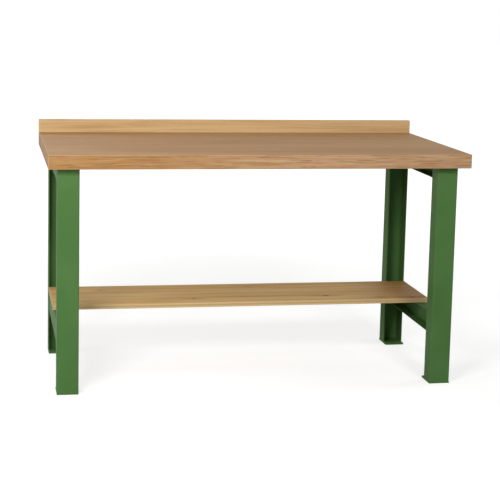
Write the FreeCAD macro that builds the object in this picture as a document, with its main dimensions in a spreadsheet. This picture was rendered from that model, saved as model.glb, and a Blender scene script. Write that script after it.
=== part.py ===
import FreeCAD, Part
import math
import os

import Sketcher
from FreeCAD import Placement, Rotation, Vector

# An assembly table: a thick layered wooden worktop with a board standing along its rear edge, carried by
# two side frames of folded sheet steel, and a half-depth wooden shelf that lies on the frames' lower beams.
#
# X runs along the table, Y from front to rear and Z up. The origin is on the floor below the middle of the
# worktop. Each side frame has two legs, channels whose open sides face each other, welded to foot plates. An
# upper and a lower beam, C-sections that open towards the middle of the table, lie inside the channels
# against the legs' outer walls and are welded to them. Screws from below hold the wooden pieces.

# Driving dimensions in millimetres: name, value, meaning.
DIMENSIONS = [
    ("top_length", 1500, "worktop, left to right"),
    ("top_depth", 750, "worktop, front to rear"),
    ("top_thickness", 50, "worktop thickness"),
    ("working_height", 850, "floor to the worktop's upper face"),
    ("top_edge_break", 2, "chamfer round the worktop's edges"),
    ("upstand_height", 50, "rear board above the worktop"),
    ("upstand_thickness", 20, "rear board, front to rear"),
    ("upstand_edge_break", 1.5, "chamfer along the rear board's upper edges"),
    ("leg_width", 76, "leg channel, left to right"),
    ("leg_depth", 60, "leg channel, front to rear"),
    ("leg_wall", 3, "sheet thickness of the legs"),
    ("leg_end_inset", 34, "end of the worktop to the leg's outer face"),
    ("leg_front_inset", 45, "front edge of the worktop to the front leg's face"),
    ("leg_rear_inset", 65, "rear edge of the worktop to the rear leg's face"),
    ("bend_radius", 1.5, "inner radius of every fold"),
    ("foot_length", 90, "foot plate, front to rear"),
    ("foot_thickness", 5, "foot plate thickness"),
    ("foot_corner_radius", 6, "corners of the foot plate's tongue"),
    ("beam_wall", 3, "sheet thickness of the beams"),
    ("beam_flange", 40, "width of the beams' flanges"),
    ("upper_beam_height", 60, "upper beam, top to bottom"),
    ("lower_beam_height", 80, "lower beam, top to bottom"),
    ("beam_end_gap", 10, "beam end to the leg's front or rear wall"),
    ("weld_size", 3, "weld beads, width on either face"),
    ("shelf_height", 258, "floor to the shelf's upper face"),
    ("shelf_thickness", 18, "shelf thickness"),
    ("shelf_depth", 310, "shelf, front to rear"),
    ("shelf_rear_gap", 2, "shelf to the rear legs"),
    ("shelf_edge_break", 1, "chamfer round the shelf's edges"),
    ("screw_diameter", 5, "wood screws, shank"),
    ("screw_head_diameter", 10, "wood screws, head"),
    ("screw_head_height", 3, "wood screws, head height"),
    ("screw_clearance", 0.3, "radial and end gap between a screw and its hole"),
    ("top_screw_length", 35, "worktop screws, under the head"),
    ("top_screw_pitch", 190, "worktop screws, spacing along a beam"),
    ("shelf_screw_length", 16, "shelf screws, under the head"),
    ("shelf_screw_pitch", 180, "shelf screws, spacing along a beam"),
    ("upstand_screw_length", 80, "rear board screws, under the head"),
    ("upstand_screw_pitch", 420, "rear board screws, spacing"),
]

TOP_SCREWS_PER_BEAM = 3
SHELF_SCREWS_PER_BEAM = 2
UPSTAND_SCREWS = 4

# Places and sizes worked out from the driving dimensions, as expressions on the sheet.
LEG_OUTER_X = "(dims.top_length / 2 - dims.leg_end_inset)"
LEG_FRONT_Y = "(dims.leg_front_inset - dims.top_depth / 2)"
LEG_REAR_Y = "(dims.top_depth / 2 - dims.leg_rear_inset)"
TOP_UNDERSIDE = "(dims.working_height - dims.top_thickness)"
SHELF_UNDERSIDE = "(dims.shelf_height - dims.shelf_thickness)"
SHELF_REAR_Y = f"({LEG_REAR_Y} - dims.leg_depth - dims.shelf_rear_gap)"
SHELF_MIDDLE_Y = f"({SHELF_REAR_Y} - dims.shelf_depth / 2)"
BEAM_OUTER_X = f"({LEG_OUTER_X} - dims.leg_wall)"
BEAM_FRONT_Y = f"({LEG_FRONT_Y} + dims.leg_wall + dims.beam_end_gap)"
BEAM_REAR_Y = f"({LEG_REAR_Y} - dims.leg_wall - dims.beam_end_gap)"
BEAM_LENGTH = f"({BEAM_REAR_Y} - {BEAM_FRONT_Y})"
BEAM_MIDDLE_Y = f"(({BEAM_REAR_Y} + {BEAM_FRONT_Y}) / 2)"
BEAM_SCREW_X = f"({BEAM_OUTER_X} - dims.beam_flange / 2)"
BEAM_FOLD = "(dims.bend_radius + dims.beam_wall)"
UPSTAND_SCREW_Y = "(dims.top_depth / 2 - dims.upstand_thickness / 2)"
SCREW_HOLE = "dims.screw_diameter + 2 * dims.screw_clearance"
FOOT_WELD_INSET = "(dims.leg_wall + dims.bend_radius + dims.weld_size)"

# Beam kinds: name, height of the upper face above the floor, height of the section.
BEAMS = [
    ("upper", TOP_UNDERSIDE, "dims.upper_beam_height"),
    ("lower", SHELF_UNDERSIDE, "dims.lower_beam_height"),
]

SIDES = {"left": -1, "right": 1}
X_AXIS = Vector(1, 0, 0)
Y_AXIS = Vector(0, 1, 0)
Z_AXIS = Vector(0, 0, 1)
NO_TURN = Rotation()
HALF_TURN = Rotation(Z_AXIS, 180)
TOLERANCE = 1e-4

# Where sketch geometry lies before its constraints move it.
START_RADIUS = 100
START_CIRCLE = 4
START_PITCH = 20

doc = FreeCAD.newDocument("assembly_table")
sheet = doc.addObject("Spreadsheet::Sheet", "dims")
for row, (alias, size, meaning) in enumerate(DIMENSIONS, start=1):
    sheet.set(f"A{row}", meaning)
    sheet.set(f"B{row}", str(size))
    sheet.setAlias(f"B{row}", alias)
doc.recompute()

sub_parts = []


# Helpers ----------------------------------------------------------------------------------------------


def place(item, x="0", y="0", z="0", turn=NO_TURN):
    """Turns an object and ties its position to expressions."""
    item.Placement = Placement(Vector(), turn)
    item.setExpression("Placement.Base.x", x)
    item.setExpression("Placement.Base.y", y)
    item.setExpression("Placement.Base.z", z)


def new_body(label):
    body = doc.addObject("PartDesign::Body", label)
    sub_parts.append(body)
    return body


def new_sketch(body, plane, name):
    """A sketch on one of the body's own origin planes."""
    sketch = body.newObject("Sketcher::SketchObject", f"{body.Name}_{name}")
    support = next(feature for feature in body.Origin.OriginFeatures if feature.Role == plane)
    sketch.AttachmentSupport = [(support, "")]
    sketch.MapMode = "FlatFace"
    return sketch


def fix_point(sketch, geometry, position, start, label, x, y):
    """Ties a point of a sketch to expressions for its distances from the sketch's origin."""
    for kind, axis, value, expression in (
        ("DistanceX", "x", start.x, x),
        ("DistanceY", "y", start.y, y),
    ):
        index = sketch.addConstraint(Sketcher.Constraint(kind, -1, 1, geometry, position, value))
        sketch.renameConstraint(index, f"{axis}_{label}")
        sketch.setExpression(f"Constraints.{axis}_{label}", expression)


def outline(body, plane, name, corners):
    """A closed outline of straight lines. Each corner is a pair of expressions."""
    sketch = new_sketch(body, plane, name)
    count = len(corners)
    turns = [2 * math.pi * index / count for index in range(count)]
    starts = [Vector(math.cos(turn), math.sin(turn), 0) * START_RADIUS for turn in turns]
    for index in range(count):
        sketch.addGeometry(Part.LineSegment(starts[index], starts[(index + 1) % count]))
    for index in range(count):
        following = (index + 1) % count
        sketch.addConstraint(Sketcher.Constraint("Coincident", index, 2, following, 1))
    for index, (x, y) in enumerate(corners):
        fix_point(sketch, index, 1, starts[index], f"corner_{index}", x, y)
    return sketch


def rectangle(body, plane, name, left, right, low, high):
    """A rectangle whose four sides lie at expressions."""
    return outline(body, plane, name, [(left, low), (right, low), (right, high), (left, high)])


def circles(body, plane, name, centres, diameter):
    """Equal circles. Each centre is a pair of expressions."""
    sketch = new_sketch(body, plane, name)
    for index, (x, y) in enumerate(centres):
        start = Vector(START_PITCH * (index + 1), START_PITCH, 0)
        sketch.addGeometry(Part.Circle(start, Z_AXIS, START_CIRCLE))
        fix_point(sketch, index, 3, start, f"centre_{index}", x, y)
        size = sketch.addConstraint(Sketcher.Constraint("Diameter", index, 2 * START_CIRCLE))
        sketch.renameConstraint(size, f"diameter_{index}")
        sketch.setExpression(f"Constraints.diameter_{index}", diameter)
    return sketch


def channel(web, flange, wall):
    """Corners of a channel section, as pairs of distances along its web and along its flanges."""
    return [
        ("0", "0"),
        (web, "0"),
        (web, flange),
        (f"{web} - {wall}", flange),
        (f"{web} - {wall}", wall),
        (wall, wall),
        (wall, flange),
        ("0", flange),
    ]


def pad(body, sketch, length, reverse=False):
    feature = body.newObject("PartDesign::Pad", f"{sketch.Name}_pad")
    feature.Profile = sketch
    feature.setExpression("Length", length)
    feature.Reversed = reverse
    doc.recompute()


def pocket(body, sketch, depth, reverse=False):
    """Cuts a sketch into the body and makes sure that it removes material."""
    volume_before = body.Shape.Volume
    feature = body.newObject("PartDesign::Pocket", f"{sketch.Name}_cut")
    feature.Profile = sketch
    feature.setExpression("Length", depth)
    feature.Reversed = reverse
    doc.recompute()
    if body.Shape.Volume > volume_before - TOLERANCE:
        raise RuntimeError(f"{feature.Name} removes nothing from {body.Name}")


def dress(body, kind, name, size, chosen):
    """Adds a fillet or a chamfer on the edges of the body's tip that the test chooses."""
    base = body.Tip
    numbered = enumerate(base.Shape.Edges, start=1)
    edges = [f"Edge{number}" for number, edge in numbered if chosen(edge)]
    feature = body.newObject(f"PartDesign::{kind}", f"{body.Name}_{name}")
    feature.Base = (base, edges)
    feature.setExpression("Radius" if kind == "Fillet" else "Size", size)
    doc.recompute()


def fold(body, along, depth, wall_name):
    """Rounds the four edges of a channel's two folds. depth measures an edge's way in from the web's face."""
    wall = sheet.get(wall_name)
    outer = lambda edge: runs_along(edge, along) and abs(depth(edge)) < TOLERANCE
    dress(body, "Fillet", "outer_folds", f"dims.bend_radius + dims.{wall_name}", outer)
    inner = lambda edge: runs_along(edge, along) and abs(depth(edge) - wall) < TOLERANCE
    dress(body, "Fillet", "inner_folds", "dims.bend_radius", inner)


def runs_along(edge, axis):
    """True for a straight edge along an axis."""
    if not isinstance(edge.Curve, Part.Line):
        return False
    return abs(abs(edge.Curve.Direction.dot(axis)) - 1) < TOLERANCE


def middle(edge):
    return edge.BoundBox.Center


def spread(count, pitch):
    """Offsets, as expressions, of evenly spaced places about a middle."""
    return [f"({index - (count - 1) / 2} * {pitch})" for index in range(count)]


def cylinder(name, diameter, height, x, y, z):
    item = doc.addObject("Part::Cylinder", name)
    item.setExpression("Radius", f"{diameter} / 2")
    item.setExpression("Height", height)
    place(item, x, y, z)
    return item


def gather(label, pieces):
    """A sub-part that holds equal small pieces as separate solids."""
    item = doc.addObject("Part::Compound", label)
    item.Links = pieces
    sub_parts.append(item)


# Places of the screws ---------------------------------------------------------------------------------

TOP_SCREW_ROWS = [f"({BEAM_MIDDLE_Y} + {row})" for row in spread(TOP_SCREWS_PER_BEAM, "dims.top_screw_pitch")]
SHELF_SCREW_ROWS = [
    f"({SHELF_MIDDLE_Y} + {row})" for row in spread(SHELF_SCREWS_PER_BEAM, "dims.shelf_screw_pitch")
]
TOP_SCREWS = [(f"{side} * {BEAM_SCREW_X}", row) for side in SIDES.values() for row in TOP_SCREW_ROWS]
SHELF_SCREWS = [(f"{side} * {BEAM_SCREW_X}", row) for side in SIDES.values() for row in SHELF_SCREW_ROWS]
UPSTAND_SCREWS_XY = [
    (column, UPSTAND_SCREW_Y) for column in spread(UPSTAND_SCREWS, "dims.upstand_screw_pitch")
]


# Wooden pieces ----------------------------------------------------------------------------------------


def make_worktop():
    """The layered worktop, drilled from below for the screws into it and through it."""
    body = new_body("worktop")
    half_length = "dims.top_length / 2"
    half_depth = "dims.top_depth / 2"
    sides = (f"-{half_length}", half_length, f"-{half_depth}", half_depth)
    pad(body, rectangle(body, "XY_Plane", "outline", *sides), "dims.top_thickness")
    dress(body, "Chamfer", "edges", "dims.top_edge_break", lambda edge: True)
    pilots = circles(body, "XY_Plane", "pilots", TOP_SCREWS, SCREW_HOLE)
    depth = "dims.top_screw_length - dims.beam_wall + dims.screw_clearance"
    pocket(body, pilots, depth, reverse=True)
    passages = circles(body, "XY_Plane", "passages", UPSTAND_SCREWS_XY, SCREW_HOLE)
    pocket(body, passages, "dims.top_thickness", reverse=True)
    place(body, z=TOP_UNDERSIDE)


def make_upstand():
    """The board that stands on the worktop along its rear edge."""
    body = new_body("upstand")
    half_length = "dims.top_length / 2"
    front = "dims.top_depth / 2 - dims.upstand_thickness"
    sides = (f"-{half_length}", half_length, front, "dims.top_depth / 2")
    pad(body, rectangle(body, "XY_Plane", "outline", *sides), "dims.upstand_height")
    top = body.Shape.BoundBox.ZMax
    upper_edge = lambda edge: abs(middle(edge).z - top) < TOLERANCE
    dress(body, "Chamfer", "edges", "dims.upstand_edge_break", upper_edge)
    pilots = circles(body, "XY_Plane", "pilots", UPSTAND_SCREWS_XY, SCREW_HOLE)
    depth = "dims.upstand_screw_length - dims.top_thickness + dims.screw_clearance"
    pocket(body, pilots, depth, reverse=True)
    place(body, z="dims.working_height")


def make_shelf():
    """The half-depth shelf, flush with the legs' outer faces and close in front of the rear legs."""
    body = new_body("shelf")
    front = f"{SHELF_REAR_Y} - dims.shelf_depth"
    sides = (f"-{LEG_OUTER_X}", LEG_OUTER_X, front, SHELF_REAR_Y)
    pad(body, rectangle(body, "XY_Plane", "outline", *sides), "dims.shelf_thickness")
    dress(body, "Chamfer", "edges", "dims.shelf_edge_break", lambda edge: True)
    pilots = circles(body, "XY_Plane", "pilots", SHELF_SCREWS, SCREW_HOLE)
    depth = "dims.shelf_screw_length - dims.beam_wall + dims.screw_clearance"
    pocket(body, pilots, depth, reverse=True)
    place(body, z=SHELF_UNDERSIDE)


# Steel frames -----------------------------------------------------------------------------------------


def make_leg(label, inward, x, y, turn):
    """A folded channel with its outer wall at x = 0, its web's face at y = 0 and its lower end at z = 0.

    inward is +1 where the channel lies on the +X side of its outer wall and -1 where it lies on the other.
    """
    body = new_body(label)
    section = channel("dims.leg_width", "dims.leg_depth", "dims.leg_wall")
    corners = [(f"{inward} * ({across})", deep) for across, deep in section]
    height = f"{TOP_UNDERSIDE} - dims.foot_thickness"
    pad(body, outline(body, "XY_Plane", "section", corners), height)
    fold(body, Z_AXIS, lambda edge: middle(edge).y, "leg_wall")
    place(body, x, y, "dims.foot_thickness", turn)


def make_foot(label, inward, x, y, turn):
    """A foot plate whose rounded tongue reaches past the open side of its channel."""
    body = new_body(label)
    sides = ("0", f"{inward} * dims.leg_width", "0", "dims.foot_length")
    pad(body, rectangle(body, "XY_Plane", "outline", *sides), "dims.foot_thickness")
    end = body.Shape.BoundBox.YMax
    tongue_corner = lambda edge: runs_along(edge, Z_AXIS) and abs(middle(edge).y - end) < TOLERANCE
    dress(body, "Fillet", "corners", "dims.foot_corner_radius", tongue_corner)
    place(body, x, y, "0", turn)


def make_beam(label, height, screw_rows, x, y, z, turn):
    """A folded C-section along +Y with its web's face at x = 0 and its upper flange's face at z = 0."""
    body = new_body(label)
    section = channel(height, "dims.beam_flange", "dims.beam_wall")
    corners = [(f"-({deep})", f"-({across})") for across, deep in section]
    pad(body, outline(body, "XZ_Plane", "section", corners), BEAM_LENGTH, reverse=True)
    fold(body, Y_AXIS, lambda edge: -middle(edge).x, "beam_wall")
    centres = [("-dims.beam_flange / 2", row) for row in screw_rows]
    pocket(body, circles(body, "XY_Plane", "screw_holes", centres, SCREW_HOLE), "2 * dims.beam_wall")
    place(body, x, y, z, turn)


def make_legs():
    for side, sign in SIDES.items():
        outer_x = f"{sign} * {LEG_OUTER_X}"
        make_leg(f"leg_front_{side}", -sign, outer_x, LEG_FRONT_Y, NO_TURN)
        make_foot(f"foot_front_{side}", -sign, outer_x, LEG_FRONT_Y, NO_TURN)
        make_leg(f"leg_rear_{side}", sign, outer_x, LEG_REAR_Y, HALF_TURN)
        make_foot(f"foot_rear_{side}", sign, outer_x, LEG_REAR_Y, HALF_TURN)


def make_beams():
    """Upper and lower beams. The left ones are right ones turned about, so they run from rear to front."""
    screw_rows = {"upper": TOP_SCREW_ROWS, "lower": SHELF_SCREW_ROWS}
    for kind, upper_face, height in BEAMS:
        rows = screw_rows[kind]
        from_front = [f"{row} - {BEAM_FRONT_Y}" for row in rows]
        place_right = (BEAM_OUTER_X, BEAM_FRONT_Y, upper_face, NO_TURN)
        make_beam(f"{kind}_beam_right", height, from_front, *place_right)
        from_rear = [f"{BEAM_REAR_Y} - {row}" for row in rows]
        place_left = (f"-{BEAM_OUTER_X}", BEAM_REAR_Y, upper_face, HALF_TURN)
        make_beam(f"{kind}_beam_left", height, from_rear, *place_left)


# Weld seams -------------------------------------------------------------------------------------------


def bead(name, corner, length, along, first, second):
    """A weld bead, a quarter round that fills a corner between the directions first and second."""
    item = doc.addObject("Part::Cylinder", name)
    item.Angle = 90
    item.setExpression("Radius", "dims.weld_size")
    item.setExpression("Height", length)
    if first.cross(second).dot(along) < 0:
        first, second = second, first
    place(item, *corner, Rotation(first, second, along, "XYZ"))
    return item


def make_beam_welds():
    """Two upright seams at each end of each beam: on its end, and on the edge of the leg's outer wall."""
    beads = []
    ends = (
        ("front", -1, BEAM_FRONT_Y, f"{LEG_FRONT_Y} + dims.leg_depth"),
        ("rear", 1, BEAM_REAR_Y, f"{LEG_REAR_Y} - dims.leg_depth"),
    )
    for kind, upper_face, height in BEAMS:
        bottom = f"{upper_face} - {height} + {BEAM_FOLD}"
        length = f"{height} - 2 * {BEAM_FOLD}"
        for side, sign in SIDES.items():
            x = f"{sign} * {BEAM_OUTER_X}"
            for end, outward, beam_end, wall_edge in ends:
                name = f"{kind}_{end}_{side}_weld"
                ways = (X_AXIS * -sign, Y_AXIS * outward)
                beads.append(bead(f"{name}_inside", (x, beam_end, bottom), length, Z_AXIS, *ways))
                ways = (X_AXIS * sign, Y_AXIS * -outward)
                beads.append(bead(f"{name}_outside", (x, wall_edge, bottom), length, Z_AXIS, *ways))
    gather("beam_welds", beads)


def make_foot_welds():
    """Three seams inside each leg channel, where its web and its two walls stand on the foot plate."""
    beads = []
    ends = (("front", LEG_FRONT_Y, 1), ("rear", LEG_REAR_Y, -1))
    plate = "dims.foot_thickness"
    web_length = f"dims.leg_width - 2 * {FOOT_WELD_INSET}"
    wall_length = f"dims.leg_depth - {FOOT_WELD_INSET}"
    for side, sign in SIDES.items():
        outer_x = f"{sign} * {BEAM_OUTER_X}"
        inner_x = f"{sign} * ({LEG_OUTER_X} - dims.leg_width + dims.leg_wall)"
        web_start = f"{sign} * ({LEG_OUTER_X} - dims.leg_width / 2) - ({web_length}) / 2"
        for end, face_y, opening in ends:
            name = f"{end}_{side}_foot_weld"
            web_y = f"{face_y} + {opening} * dims.leg_wall"
            near = f"{face_y} + {opening} * {FOOT_WELD_INSET}"
            far = f"{face_y} + {opening} * dims.leg_depth"
            wall_start = near if opening > 0 else far
            ways = (Y_AXIS * opening, Z_AXIS)
            beads.append(bead(f"{name}_web", (web_start, web_y, plate), web_length, X_AXIS, *ways))
            ways = (X_AXIS * -sign, Z_AXIS)
            beads.append(bead(f"{name}_outer", (outer_x, wall_start, plate), wall_length, Y_AXIS, *ways))
            ways = (X_AXIS * sign, Z_AXIS)
            beads.append(bead(f"{name}_inner", (inner_x, wall_start, plate), wall_length, Y_AXIS, *ways))
    gather("foot_welds", beads)


# Screws -----------------------------------------------------------------------------------------------


def make_screws(label, places, seat, length):
    """Wood screws that rise from their seats, with their heads below."""
    screws = []
    head_size = ("dims.screw_head_diameter", "dims.screw_head_height")
    for number, (x, y) in enumerate(places):
        head = cylinder(f"{label}_head_{number}", *head_size, x, y, f"{seat} - dims.screw_head_height")
        shank = cylinder(f"{label}_shank_{number}", "dims.screw_diameter", length, x, y, seat)
        screw = doc.addObject("Part::MultiFuse", f"{label}_{number}")
        screw.Shapes = [head, shank]
        screws.append(screw)
    gather(label, screws)


# The whole table --------------------------------------------------------------------------------------

make_worktop()
make_upstand()
make_shelf()
make_legs()
make_beams()
make_beam_welds()
make_foot_welds()
make_screws("worktop_screws", TOP_SCREWS, f"{TOP_UNDERSIDE} - dims.beam_wall", "dims.top_screw_length")
make_screws("shelf_screws", SHELF_SCREWS, f"{SHELF_UNDERSIDE} - dims.beam_wall", "dims.shelf_screw_length")
make_screws("upstand_screws", UPSTAND_SCREWS_XY, TOP_UNDERSIDE, "dims.upstand_screw_length")
doc.recompute()

for item in doc.Objects:
    if "Invalid" in item.State or "Error" in item.State:
        raise RuntimeError(f"{item.Name} failed: {item.State}")
for item in sub_parts:
    if item.Shape.isNull() or not item.Shape.isValid():
        raise RuntimeError(f"{item.Label} has no valid shape")

os.makedirs("parts", exist_ok=True)
for item in sub_parts:
    item.Shape.exportStep(f"parts/{item.Label}.step")
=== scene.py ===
import math

import bmesh
import bpy
from mathutils import Matrix, Vector


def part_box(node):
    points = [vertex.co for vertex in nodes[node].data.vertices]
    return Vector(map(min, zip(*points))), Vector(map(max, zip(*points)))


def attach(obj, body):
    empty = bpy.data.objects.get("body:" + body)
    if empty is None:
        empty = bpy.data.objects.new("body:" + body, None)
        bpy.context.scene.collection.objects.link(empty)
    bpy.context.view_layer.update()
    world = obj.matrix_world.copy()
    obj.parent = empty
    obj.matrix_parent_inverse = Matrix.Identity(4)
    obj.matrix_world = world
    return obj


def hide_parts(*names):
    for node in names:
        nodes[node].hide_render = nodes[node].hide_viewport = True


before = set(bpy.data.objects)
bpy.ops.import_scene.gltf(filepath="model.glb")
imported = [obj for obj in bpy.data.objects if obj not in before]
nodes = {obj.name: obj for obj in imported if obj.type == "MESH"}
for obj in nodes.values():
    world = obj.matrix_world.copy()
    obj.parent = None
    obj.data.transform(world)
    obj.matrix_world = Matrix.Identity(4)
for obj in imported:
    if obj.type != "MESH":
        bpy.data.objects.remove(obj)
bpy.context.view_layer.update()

scene = bpy.context.scene

# Lengths are in metres, colours are linear.

# Wood ---------------------------------------------------------------------------------------------------

# Read from the CAD nodes, so that the layers follow the boards.
TOP_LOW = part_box("worktop")[0]
SHELF_LOW, SHELF_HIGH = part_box("shelf")

PLY_THICKNESS = 0.00145
PLY_DASHES_PER_METRE = 7.0
PORES_PER_METRE = 1400.0
# The plies are warmer towards the worktop's left end: where along X that begins and is full, how unevenly,
# and what it multiplies their colour by.
PLY_WARM_REACH = (0.28, -0.38)
PLY_WARM_WANDER = 0.25
PLY_WARM_STAIN = (0.80, 0.71, 0.51)
SHELF_LAYER = (SHELF_HIGH[2] - SHELF_LOW[2]) / 3
SHELF_STAVE_WIDTH = 0.078
# The staves are counted from this y.
SHELF_STAVE_START = -1.0
# Where a layer of the shelf is cut across: width of a stave and distance between growth rings.
END_STAVE_WIDTH = 0.052
RING_PITCH = 0.0026
# Knots on the shelf: x, y, half length, half width.
SHELF_KNOTS = [
    (-0.185, 0.000, 0.011, 0.008),
    (0.330, 0.010, 0.015, 0.010),
    (0.530, -0.032, 0.008, 0.006),
    (-0.520, 0.170, 0.007, 0.005),
    (0.060, 0.198, 0.006, 0.005),
    (0.660, -0.040, 0.015, 0.010),
]
# The shelf is darker and redder towards its right end, partly heartwood and partly painted shade, in the
# same terms.
HEART_AND_SHADE_REACH = (0.51, 0.89)
HEART_AND_SHADE_WANDER = 0.30
HEART_AND_SHADE_STAIN = (0.58, 0.50, 0.53)
# How fast the figure changes through a board's thickness, against across its width.
THROUGH_GRAIN = 1.7
GRAIN_RELIEF = 0.0003
WOOD_GLOSS = 0.06
BEECH_ROUGHNESS = (0.44, 0.56)
PINE_ROUGHNESS = (0.50, 0.62)

BEECH_FACE = (0.425, 0.238, 0.096)
BEECH_FACE_PALE = (0.490, 0.290, 0.128)
BEECH_FACE_DARK = (0.352, 0.184, 0.070)
BEECH_FLECK = (0.215, 0.105, 0.040)
# Pale colour on the chamfers: partly sanded wood, partly a painted highlight.
ARRIS_SANDED_AND_HIGHLIGHT = (0.620, 0.420, 0.230)
PLY_LONG = (0.528, 0.316, 0.155)
PLY_YELLOW = (0.615, 0.429, 0.248)
PLY_PINK = (0.578, 0.352, 0.226)
PLY_CROSS = (0.385, 0.209, 0.107)
PLY_GLUE = (0.200, 0.090, 0.030)
UPSTAND_FACE = (0.646, 0.428, 0.208)
UPSTAND_PALE = (0.727, 0.520, 0.281)
UPSTAND_DARK = (0.525, 0.321, 0.140)
PINE_FACE = (0.592, 0.377, 0.138)
PINE_PALE = (0.678, 0.473, 0.205)
PINE_DARK = (0.392, 0.218, 0.067)
PINE_KNOT = (0.170, 0.075, 0.028)
PINE_EDGE = (0.726, 0.554, 0.315)
PINE_END = (0.600, 0.420, 0.210)
PINE_RING = (0.400, 0.245, 0.100)

# Steel --------------------------------------------------------------------------------------------------

GREEN = (0.075, 0.171, 0.049)
GREEN_DARK = (0.060, 0.142, 0.040)
GREEN_PALE = (0.091, 0.191, 0.060)
PAINT_GLOSS = 0.02
PAINT_ROUGHNESS = (0.42, 0.52)
PEELS_PER_METRE = 650.0
PEEL_RELIEF = 0.0004
RIPPLE_PITCH = 0.0024
RIPPLE_RELIEF = 0.0006
ZINC = (0.560, 0.560, 0.540)
ZINC_DARK = (0.380, 0.380, 0.370)
ZINC_ROUGHNESS = (0.28, 0.42)

# Corners of a mesh nearer than this are one.
SAME_PLACE = 1e-6
SCREW_SIDES = 36
SCREW_LOBES = 6
# Rings of a screw's head, from the bottom of its recess over the dome to the shank: radius, height above the
# head's lowest point, and depth of the recess's lobes. Radius and depth are shares of the head's radius.
SCREW_HEAD_RINGS = [
    (0.30, 0.00210, 0.05),
    (0.36, 0.00200, 0.06),
    (0.38, 0.00035, 0.06),
    (0.42, 0.00010, 0.05),
    (0.50, 0.00000, 0.00),
    (0.72, 0.00012, 0.00),
    (0.88, 0.00050, 0.00),
    (0.97, 0.00110, 0.00),
    (1.00, 0.00190, 0.00),
    (1.00, 0.00285, 0.00),
    (0.97, 0.00300, 0.00),
    (0.50, 0.00300, 0.00),
]
SCREW_SHANK = 0.50
SCREW_POINT_LENGTH = 0.008
SCREW_TIP = 0.06
SCREW_TIP_LENGTH = 0.0001
SCREW_SHARP_ANGLE = math.radians(35)

# Stage --------------------------------------------------------------------------------------------------

# Camera: place, the three angles in degrees, focal length in widths of the frame, and lens shift.
CAMERA_PLACE = (-0.981, -4.990, 1.420)
CAMERA_YAW = 10.08
CAMERA_PITCH = 7.98
CAMERA_ROLL = -1.16
CAMERA_FOCAL = 2.742
CAMERA_SHIFT = (0.06, -0.14)
CAMERA_REACH = 200.0

# Lamps: name, place, point aimed at, size, power in watts.
LAMPS = [
    ("key_lamp", (1.00, -4.70, 3.20), (0.0, 0.0, 0.5), 1.0, 76.0),
    ("fill_lamp", (-1.50, -2.40, 1.60), (-0.5, 0.0, 0.5), 1.0, 51.0),
    ("left_lamp", (-2.80, 0.40, 2.80), (-0.4, 0.0, 0.7), 1.4, 25.0),
    ("right_lamp", (3.40, 0.30, 1.30), (0.4, 0.0, 0.5), 1.6, 22.0),
    ("back_lamp", (-1.20, 3.60, 3.00), (0.0, 0.0, 0.5), 1.4, 28.0),
]
WORLD_LIGHT = 0.22
WHITE = (1.0, 1.0, 1.0)

FLOOR = (0.560, 0.560, 0.555)
FLOOR_HALF_SIZE = 30.0
FLOOR_ROUGHNESS = 0.9
# The floor's own light to the camera, under the table and far from it, and where it changes.
FLOOR_LIFT_NEAR = 0.64
FLOOR_LIFT_FAR = 1.0
FLOOR_LIFT_RADII = (1.2, 4.5)


# Node helpers -------------------------------------------------------------------------------------------


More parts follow.
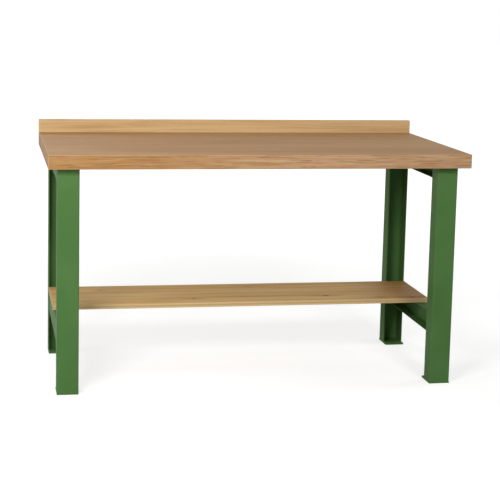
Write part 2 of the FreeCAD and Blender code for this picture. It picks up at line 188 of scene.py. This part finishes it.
class Graph:
    """A new material and its node tree. Values are sockets, numbers or colours."""

    def __init__(self, name):
        self.material = bpy.data.materials.new(name)
        self.material.use_nodes = True
        self.tree = self.material.node_tree
        self.tree.nodes.clear()
        self.place = self.add("ShaderNodeTexCoord").outputs["Object"]
        self.normal = self.add("ShaderNodeNewGeometry").outputs["Normal"]

    def add(self, kind, **settings):
        node = self.tree.nodes.new(kind)
        for name, value in settings.items():
            setattr(node, name, value)
        return node

    def feed(self, socket, value):
        if isinstance(value, bpy.types.NodeSocket):
            self.tree.links.new(value, socket)
        elif isinstance(value, tuple) and len(value) == 3 and socket.type == "RGBA":
            socket.default_value = (*value, 1.0)
        else:
            socket.default_value = value

    def math(self, operation, first, second=0.0, third=0.0):
        node = self.add("ShaderNodeMath", operation=operation)
        for socket, value in zip(node.inputs, (first, second, third)):
            self.feed(socket, value)
        return node.outputs[0]

    def length(self, vector):
        node = self.add("ShaderNodeVectorMath", operation="LENGTH")
        self.feed(node.inputs[0], vector)
        return node.outputs["Value"]

    def split(self, vector):
        node = self.add("ShaderNodeSeparateXYZ")
        self.feed(node.inputs[0], vector)
        return node.outputs[0], node.outputs[1], node.outputs[2]

    def join(self, x, y, z=0.0):
        node = self.add("ShaderNodeCombineXYZ")
        for socket, value in zip(node.inputs, (x, y, z)):
            self.feed(socket, value)
        return node.outputs[0]

    def mix(self, factor, first, second, blend="MIX"):
        node = self.add("ShaderNodeMix", data_type="RGBA", blend_type=blend)
        self.feed(node.inputs[0], factor)
        self.feed(node.inputs[6], first)
        self.feed(node.inputs[7], second)
        return node.outputs[2]

    def tint(self, colour, other, mask, amount):
        """Moves a colour some way towards another where the mask is 1."""
        return self.mix(self.math("MULTIPLY", mask, amount), colour, other)

    def span(self, value, low, high, new_low=0.0, new_high=1.0):
        """Maps a value's span smoothly to a new one, held at both ends."""
        node = self.add("ShaderNodeMapRange", interpolation_type="SMOOTHSTEP", clamp=True)
        for socket, number in zip(node.inputs, (value, low, high, new_low, new_high)):
            self.feed(socket, number)
        return node.outputs[0]

    def noise(self, vector, scale=1.0, detail=3.0, roughness=0.5, distortion=0.0):
        node = self.add("ShaderNodeTexNoise")
        self.feed(node.inputs["Vector"], vector)
        node.inputs["Scale"].default_value = scale
        node.inputs["Detail"].default_value = detail
        node.inputs["Roughness"].default_value = roughness
        node.inputs["Distortion"].default_value = distortion
        return node.outputs["Fac"]

    def figure(self, along, across, seed, bend=0.0, **settings):
        """Noise in a board's grain, which runs along X: features per metre along and across it."""
        x, y, z = self.split(self.place)
        depth = self.math("MULTIPLY_ADD", z, THROUGH_GRAIN, self.math("ADD", y, bend))
        place = self.join(self.math("MULTIPLY", x, along), self.math("MULTIPLY", depth, across), seed)
        return self.noise(place, **settings)

    def chance(self, value):
        """A number from 0 to 1 that jumps wherever the value changes."""
        node = self.add("ShaderNodeTexWhiteNoise", noise_dimensions="1D")
        self.feed(node.inputs["W"], value)
        return node.outputs["Value"]

    def facing(self, axis):
        """How far the surface faces along an axis, either way, from 0 to 1."""
        return self.math("ABSOLUTE", self.split(self.normal)["XYZ".index(axis)])

    def bump(self, height, strength, distance):
        node = self.add("ShaderNodeBump")
        node.inputs["Strength"].default_value = strength
        node.inputs["Distance"].default_value = distance
        self.feed(node.inputs["Height"], height)
        return node.outputs[0]

    def finish(self, colour, roughness, normal=None, **numbers):
        shader = self.add("ShaderNodeBsdfPrincipled")
        self.feed(shader.inputs["Base Color"], colour)
        self.feed(shader.inputs["Roughness"], roughness)
        if normal is not None:
            self.feed(shader.inputs["Normal"], normal)
        for name, number in numbers.items():
            shader.inputs[name.replace("_", " ")].default_value = number
        output = self.add("ShaderNodeOutputMaterial")
        self.tree.links.new(shader.outputs[0], output.inputs[0])
        return shader


def shown_rays(tree):
    """1 for rays from the camera, off gloss and through glass, and 0 for the rest."""
    path = tree.nodes.new("ShaderNodeLightPath")
    shown = path.outputs["Is Camera Ray"]
    for kind in ("Is Glossy Ray", "Is Transmission Ray"):
        either = tree.nodes.new("ShaderNodeMath")
        either.operation = "MAXIMUM"
        tree.links.new(shown, either.inputs[0])
        tree.links.new(path.outputs[kind], either.inputs[1])
        shown = either.outputs[0]
    return shown


def dress(material, *names):
    """Gives CAD nodes a material in place of their plain one."""
    for name in names:
        mesh = nodes[name].data
        mesh.materials.clear()
        mesh.materials.append(material)


# Materials ----------------------------------------------------------------------------------------------


def arris(graph):
    """1 on the chamfers that run round a board, 0 on its flat sides."""
    sides = graph.math("MAXIMUM", graph.facing("Y"), graph.facing("Z"))
    return graph.span(graph.math("MAXIMUM", graph.facing("X"), sides), 0.85, 0.75)


def beech_face(graph):
    """Flat-cut beech: soft bands, growth lines, and the short dark flecks that mark beech."""
    bands = graph.figure(0.9, 7.0, 2.0, distortion=0.8)
    lines = graph.figure(2.6, 105.0, 5.0, roughness=0.55, distortion=0.4)
    flecks = graph.span(graph.figure(210.0, 1900.0, 9.0, detail=1.0), 0.60, 0.70)
    colour = graph.mix(graph.span(bands, 0.32, 0.62), BEECH_FACE_DARK, BEECH_FACE)
    colour = graph.tint(colour, BEECH_FACE_PALE, graph.span(lines, 0.42, 0.70), 0.65)
    colour = graph.tint(colour, BEECH_FLECK, flecks, 0.50)
    return colour, lines, flecks


def beech_plies(graph):
    """The multiplex board's edges: thin plies, long and cross grain in turn, patchy along their length."""
    x, y, z = graph.split(graph.place)
    along = graph.math("ADD", x, y)
    height = graph.math("SUBTRACT", z, TOP_LOW[2])
    count = graph.math("DIVIDE", height, PLY_THICKNESS)
    number = graph.math("FLOOR", count)

    def patches(length, tall, seed):
        """Noise in patches of this length and height."""
        place = graph.join(graph.math("DIVIDE", along, length), graph.math("DIVIDE", height, tall), seed)
        return graph.noise(place, detail=2.0)

    colour = graph.mix(graph.span(patches(0.170, 0.011, 1.0), 0.44, 0.60), PLY_LONG, PLY_YELLOW)
    colour = graph.mix(graph.span(patches(0.120, 0.014, 8.0), 0.50, 0.64), colour, PLY_PINK)
    colour = graph.tint(colour, PLY_CROSS, graph.chance(number), 0.45)

    # On the board's ends the cross plies show their long grain, and the others their pores.
    turned = graph.math("GREATER_THAN", graph.facing("X"), 0.5)
    crossed = graph.math("MODULO", graph.math("ADD", number, turned), 2.0)
    pore_x = graph.math("MULTIPLY", along, PORES_PER_METRE)
    pore_z = graph.math("MULTIPLY", z, PORES_PER_METRE)
    pores = graph.span(graph.noise(graph.join(pore_x, pore_z, 3.0), detail=1.0), 0.45, 0.65)
    colour = graph.tint(colour, PLY_CROSS, crossed, graph.math("MULTIPLY_ADD", pores, 0.30, 0.45))

    wander = graph.math("MULTIPLY_ADD", patches(0.300, 0.020, 5.0), PLY_WARM_WANDER, x)
    colour = graph.mix(graph.span(wander, *PLY_WARM_REACH), colour, PLY_WARM_STAIN, "MULTIPLY")

    # Here and there a ply is dark over a hand's length, and the glue lines between plies are thin.
    dash_row = graph.math("MULTIPLY", number, 0.73)
    dash_place = graph.join(graph.math("MULTIPLY", along, PLY_DASHES_PER_METRE), dash_row, 21.0)
    dashes = graph.span(graph.noise(dash_place, detail=2.0), 0.56, 0.66)
    colour = graph.tint(colour, PLY_GLUE, dashes, 0.75)
    between = graph.math("PINGPONG", graph.math("FRACT", count), 0.5)
    glue = graph.span(between, 0.10, 0.0)
    colour = graph.tint(colour, PLY_GLUE, glue, 0.45)
    return colour, glue


def make_worktop_wood():
    """Beech multiplex: veneer above and below, ply edges all round, and arrises painted pale, partly sanded
    wood and partly a painted highlight.
    """
    graph = Graph("worktop_wood")
    face, lines, flecks = beech_face(graph)
    plies, glue = beech_plies(graph)
    flat = graph.span(graph.facing("Z"), 0.60, 0.90)
    colour = graph.mix(flat, plies, face)
    # The chamfers are painted paler: partly sanded wood, partly a painted highlight.
    colour = graph.tint(colour, ARRIS_SANDED_AND_HIGHLIGHT, arris(graph), 0.45)
    face_relief = graph.math("SUBTRACT", lines, flecks)
    edge_relief = graph.math("MULTIPLY", glue, -0.5)
    normal = graph.bump(graph.math("MULTIPLY_ADD", flat, face_relief, edge_relief), 0.25, GRAIN_RELIEF)
    roughness = graph.span(lines, 0.3, 0.7, *BEECH_ROUGHNESS)
    graph.finish(colour, roughness, normal, Specular_IOR_Level=WOOD_GLOSS)
    return graph.material


def make_upstand_wood():
    """Solid beech, paler than the worktop, darker on its ends."""
    graph = Graph("upstand_wood")
    bands = graph.figure(2.0, 30.0, 11.0, distortion=0.8)
    lines = graph.figure(3.0, 180.0, 14.0, roughness=0.55, distortion=0.4)
    flecks = graph.span(graph.figure(190.0, 1700.0, 17.0, detail=1.0), 0.60, 0.72)
    colour = graph.mix(graph.span(bands, 0.30, 0.58), UPSTAND_DARK, UPSTAND_FACE)
    colour = graph.tint(colour, UPSTAND_PALE, graph.span(lines, 0.40, 0.70), 0.70)
    colour = graph.tint(colour, BEECH_FACE_DARK, flecks, 0.40)
    colour = graph.tint(colour, BEECH_FACE_DARK, graph.span(graph.facing("X"), 0.6, 0.9), 0.40)
    # The chamfers are painted paler: partly sanded wood, partly a painted highlight.
    colour = graph.tint(colour, ARRIS_SANDED_AND_HIGHLIGHT, arris(graph), 0.35)
    normal = graph.bump(graph.math("SUBTRACT", lines, flecks), 0.2, GRAIN_RELIEF)
    roughness = graph.span(lines, 0.3, 0.7, *BEECH_ROUGHNESS)
    graph.finish(colour, roughness, normal, Specular_IOR_Level=WOOD_GLOSS)
    return graph.material


def pine_knots(graph):
    """The shelf's knots, each a core in a fainter halo, and how far the growth lines bend round them."""
    x, y = graph.split(graph.place)[:2]
    knots = 0.0
    bend = 0.0
    for knot_x, knot_y, half_length, half_width in SHELF_KNOTS:
        along = graph.math("DIVIDE", graph.math("SUBTRACT", x, knot_x), half_length)
        across = graph.math("DIVIDE", graph.math("SUBTRACT", y, knot_y), half_width)
        reach = graph.length(graph.join(graph.math("MULTIPLY", along, 0.33), across))
        near = graph.span(reach, 4.0, 0.6)
        push = graph.math("MULTIPLY", graph.math("MULTIPLY", near, across), half_width * -0.5)
        bend = graph.math("ADD", bend, push)
        core = graph.span(graph.length(graph.join(along, across)), 1.25, 0.55)
        halo = graph.math("MULTIPLY", graph.span(reach, 2.2, 0.8), 0.35)
        knots = graph.math("MAXIMUM", knots, graph.math("MAXIMUM", core, halo))
    return knots, bend


def pine_end_grain(graph, along, height):
    """Softwood cut across: growth rings, at a slant of their own in each stave."""
    stave = graph.math("FLOOR", graph.math("DIVIDE", along, END_STAVE_WIDTH))
    slant = graph.math("SUBTRACT", graph.chance(stave), 0.5)
    level = graph.math("MULTIPLY_ADD", along, slant, height)
    rings = graph.math("PINGPONG", graph.math("DIVIDE", level, RING_PITCH), 0.5)
    return graph.mix(graph.span(rings, 0.10, 0.40), PINE_RING, PINE_END)


def make_shelf_wood():
    """Softwood board of three crossed layers, the outer ones glued from staves, with a few knots."""
    graph = Graph("shelf_wood")
    x, y, z = graph.split(graph.place)
    knots, bend = pine_knots(graph)
    stave = graph.math("SUBTRACT", y, SHELF_STAVE_START)
    shade = graph.chance(graph.math("FLOOR", graph.math("DIVIDE", stave, SHELF_STAVE_WIDTH)))
    seed = graph.math("MULTIPLY", shade, 7.0)
    broad = graph.figure(1.6, 12.0, seed, bend, distortion=0.5)
    lines = graph.figure(1.5, 150.0, seed, bend, detail=2.0, distortion=0.3)
    fine = graph.figure(30.0, 900.0, seed, bend, detail=2.0)
    colour = graph.mix(graph.span(broad, 0.35, 0.62), PINE_FACE, PINE_PALE)
    colour = graph.tint(colour, PINE_DARK, graph.span(lines, 0.48, 0.66), 0.60)
    colour = graph.tint(colour, PINE_DARK, fine, 0.18)
    colour = graph.tint(colour, PINE_DARK, shade, 0.30)
    # Darker and redder towards the right end: partly heartwood, partly painted shade.
    wander = graph.math("MULTIPLY_ADD", broad, HEART_AND_SHADE_WANDER, x)
    colour = graph.mix(graph.span(wander, *HEART_AND_SHADE_REACH), colour, HEART_AND_SHADE_STAIN, "MULTIPLY")
    colour = graph.tint(colour, PINE_KNOT, knots, 0.90)

    # On the long edges the middle layer is cut across, and on the ends the outer two are.
    edge = graph.span(graph.facing("Z"), 0.9, 0.5)
    colour = graph.tint(colour, PINE_EDGE, edge, 0.50)
    height = graph.math("SUBTRACT", z, SHELF_LOW[2])
    layer = graph.math("DIVIDE", height, SHELF_LAYER)
    middle = graph.math("COMPARE", layer, 1.5, 0.5)
    turned = graph.math("GREATER_THAN", graph.facing("X"), 0.5)
    across = graph.math("ABSOLUTE", graph.math("SUBTRACT", middle, turned))
    end_grain = pine_end_grain(graph, graph.math("ADD", x, y), height)
    colour = graph.tint(colour, end_grain, graph.math("MULTIPLY", edge, across), 0.85)
    joint = graph.span(graph.math("PINGPONG", layer, 0.5), 0.03, 0.0)
    colour = graph.tint(colour, PINE_DARK, graph.math("MULTIPLY", joint, edge), 0.50)

    normal = graph.bump(graph.math("ADD", lines, fine), 0.2, GRAIN_RELIEF)
    roughness = graph.span(lines, 0.3, 0.7, *PINE_ROUGHNESS)
    graph.finish(colour, roughness, normal, Specular_IOR_Level=WOOD_GLOSS)
    return graph.material


def weld_ripples(graph):
    """Even ripples along a bead, a little irregular."""
    x, y, z = graph.split(graph.place)
    along = graph.math("ADD", graph.math("ADD", x, y), z)
    wander = graph.noise(graph.place, 300.0, detail=1.0)
    turns = graph.math("MULTIPLY_ADD", along, 1.0 / RIPPLE_PITCH, wander)
    return graph.math("PINGPONG", turns, 0.5)


def make_frame_paint(name, rippled=False):
    """Satin green powder coat with a fine orange-peel surface, on flat steel or on the ripples of a weld."""
    graph = Graph(name)
    cloud = graph.noise(graph.place, 5.0)
    peel = graph.noise(graph.place, PEELS_PER_METRE, detail=2.0, roughness=0.6)
    colour = graph.mix(graph.span(cloud, 0.35, 0.65), GREEN_DARK, GREEN_PALE)
    colour = graph.mix(0.6, colour, GREEN)
    if rippled:
        normal = graph.bump(weld_ripples(graph), 0.8, RIPPLE_RELIEF)
    else:
        normal = graph.bump(peel, 0.12, PEEL_RELIEF)
    roughness = graph.span(peel, 0.3, 0.7, *PAINT_ROUGHNESS)
    graph.finish(colour, roughness, normal, Specular_IOR_Level=PAINT_GLOSS)
    return graph.material


def make_screw_zinc():
    """Zinc-plated steel, dull and slightly cloudy."""
    graph = Graph("screw_zinc")
    cloud = graph.noise(graph.place, 420.0)
    colour = graph.mix(graph.span(cloud, 0.35, 0.65), ZINC_DARK, ZINC)
    graph.finish(colour, graph.span(cloud, 0.3, 0.7, *ZINC_ROUGHNESS), Metallic=1.0)
    return graph.material


def make_floor_finish():
    """Pale floor that shows white to the camera and to gloss, and still takes the table's shadow."""
    graph = Graph("floor_finish")
    shader = graph.finish(FLOOR, FLOOR_ROUGHNESS, Specular_IOR_Level=0.0)
    x, y = graph.split(graph.place)[:2]
    radius = graph.length(graph.join(x, y))
    lift = graph.span(radius, *FLOOR_LIFT_RADII, FLOOR_LIFT_NEAR, FLOOR_LIFT_FAR)
    graph.feed(shader.inputs["Emission Color"], WHITE)
    graph.feed(shader.inputs["Emission Strength"], graph.math("MULTIPLY", shown_rays(graph.tree), lift))
    return graph.material


# Screws -------------------------------------------------------------------------------------------------


def lumps(name):
    """The lowest and highest corner of each separate solid in a CAD node."""
    mesh = bmesh.new()
    mesh.from_mesh(nodes[name].data)
    bmesh.ops.remove_doubles(mesh, verts=mesh.verts, dist=SAME_PLACE)
    seen = set()
    boxes = []
    for start in mesh.verts:
        if start in seen:
            continue
        seen.add(start)
        found = [start]
        for vertex in found:
            for edge in vertex.link_edges:
                other = edge.other_vert(vertex)
                if other not in seen:
                    seen.add(other)
                    found.append(other)
        places = [vertex.co for vertex in found]
        low = Vector([min(place[axis] for place in places) for axis in range(3)])
        high = Vector([max(place[axis] for place in places) for axis in range(3)])
        boxes.append((low, high))
    mesh.free()
    return boxes


def add_screw(mesh, low, high):
    """A wood screw that points up: a low domed head with a lobed recess, a shank and a point."""
    centre = (low + high) / 2
    head = (high.x - low.x) / 2
    rows = [(head * radius, low.z + height, head * lobe) for radius, height, lobe in SCREW_HEAD_RINGS]
    rows.append((head * SCREW_SHANK, high.z - SCREW_POINT_LENGTH, 0.0))
    rows.append((head * SCREW_TIP, high.z - SCREW_TIP_LENGTH, 0.0))
    loops = []
    for radius, z, lobe in rows:
        loop = []
        for step in range(SCREW_SIDES):
            turn = 2 * math.pi * step / SCREW_SIDES
            reach = radius + lobe * math.cos(SCREW_LOBES * turn)
            place = (centre.x + reach * math.cos(turn), centre.y + reach * math.sin(turn), z)
            loop.append(mesh.verts.new(place))
        loops.append(loop)
    for first, second in zip(loops, loops[1:]):
        for step in range(SCREW_SIDES):
            after = (step + 1) % SCREW_SIDES
            mesh.faces.new((first[step], first[after], second[after], second[step]))
    for loop, z in ((loops[0], rows[0][1]), (loops[-1], high.z)):
        tip = mesh.verts.new((centre.x, centre.y, z))
        for step in range(SCREW_SIDES):
            mesh.faces.new((loop[step], loop[(step + 1) % SCREW_SIDES], tip))


def make_screws(names):
    """Replaces each node of plain screws by the same screws with shaped heads."""
    material = make_screw_zinc()
    for name in names:
        mesh = bmesh.new()
        for low, high in lumps(name):
            add_screw(mesh, low, high)
        bmesh.ops.recalc_face_normals(mesh, faces=mesh.faces)
        data = bpy.data.meshes.new(name + "_shaped")
        mesh.to_mesh(data)
        mesh.free()
        for face in data.polygons:
            face.use_smooth = True
        data.set_sharp_from_angle(angle=SCREW_SHARP_ANGLE)
        data.materials.append(material)
        piece = bpy.data.objects.new(name + "_shaped", data)
        scene.collection.objects.link(piece)
        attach(piece, "root")
        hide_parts(name)


# Floor, lamps, world and camera -------------------------------------------------------------------------


def make_floor():
    mesh = bpy.data.meshes.new("floor")
    size = FLOOR_HALF_SIZE
    corners = [(-size, -size, 0.0), (size, -size, 0.0), (size, size, 0.0), (-size, size, 0.0)]
    mesh.from_pydata(corners, [], [(0, 1, 2, 3)])
    mesh.materials.append(make_floor_finish())
    floor = bpy.data.objects.new("floor", mesh)
    scene.collection.objects.link(floor)


def make_lamps():
    for name, place, target, size, power in LAMPS:
        light = bpy.data.lights.new(name, "AREA")
        light.shape = "SQUARE"
        light.size = size
        light.energy = power
        lamp = bpy.data.objects.new(name, light)
        lamp.location = place
        lamp.rotation_euler = (Vector(target) - Vector(place)).to_track_quat("-Z", "Y").to_euler()
        scene.collection.objects.link(lamp)


def make_world():
    """White to the camera and in reflections, and an even soft light on the object."""
    world = bpy.data.worlds.new("studio")
    scene.world = world
    world.use_nodes = True
    tree = world.node_tree
    tree.nodes.clear()
    strength = tree.nodes.new("ShaderNodeMapRange")
    tree.links.new(shown_rays(tree), strength.inputs["Value"])
    strength.inputs["To Min"].default_value = WORLD_LIGHT
    strength.inputs["To Max"].default_value = 1.0
    background = tree.nodes.new("ShaderNodeBackground")
    background.inputs["Color"].default_value = (*WHITE, 1.0)
    tree.links.new(strength.outputs[0], background.inputs["Strength"])
    output = tree.nodes.new("ShaderNodeOutputWorld")
    tree.links.new(background.outputs[0], output.inputs[0])


def make_camera():
    yaw, pitch, roll = (math.radians(angle) for angle in (CAMERA_YAW, CAMERA_PITCH, CAMERA_ROLL))
    forward = Vector((math.sin(yaw) * math.cos(pitch), math.cos(yaw) * math.cos(pitch), -math.sin(pitch)))
    level = Vector((math.cos(yaw), -math.sin(yaw), 0.0))
    down = forward.cross(level)
    right = math.cos(roll) * level + math.sin(roll) * down
    down = -math.sin(roll) * level + math.cos(roll) * down
    turn = Matrix((right, -down, -forward)).transposed().to_4x4()
    data = bpy.data.cameras.new("camera")
    data.sensor_fit = "HORIZONTAL"
    data.lens = CAMERA_FOCAL * data.sensor_width
    data.shift_x, data.shift_y = CAMERA_SHIFT
    data.clip_end = CAMERA_REACH
    camera = bpy.data.objects.new("camera", data)
    camera.matrix_world = Matrix.Translation(CAMERA_PLACE) @ turn
    scene.collection.objects.link(camera)
    scene.camera = camera


# The scene ----------------------------------------------------------------------------------------------

wooden = {"worktop", "upstand", "shelf"}
screws = [name for name in nodes if name.endswith("_screws")]
welds = [name for name in nodes if name.endswith("_welds")]
painted = [name for name in nodes if name not in wooden.union(screws, welds)]

dress(make_worktop_wood(), "worktop")
dress(make_upstand_wood(), "upstand")
dress(make_shelf_wood(), "shelf")
dress(make_frame_paint("frame_paint"), *painted)
dress(make_frame_paint("weld_paint", rippled=True), *welds)
make_screws(screws)

scene.view_settings.view_transform = "Standard"
make_floor()
make_lamps()
make_world()
make_camera()
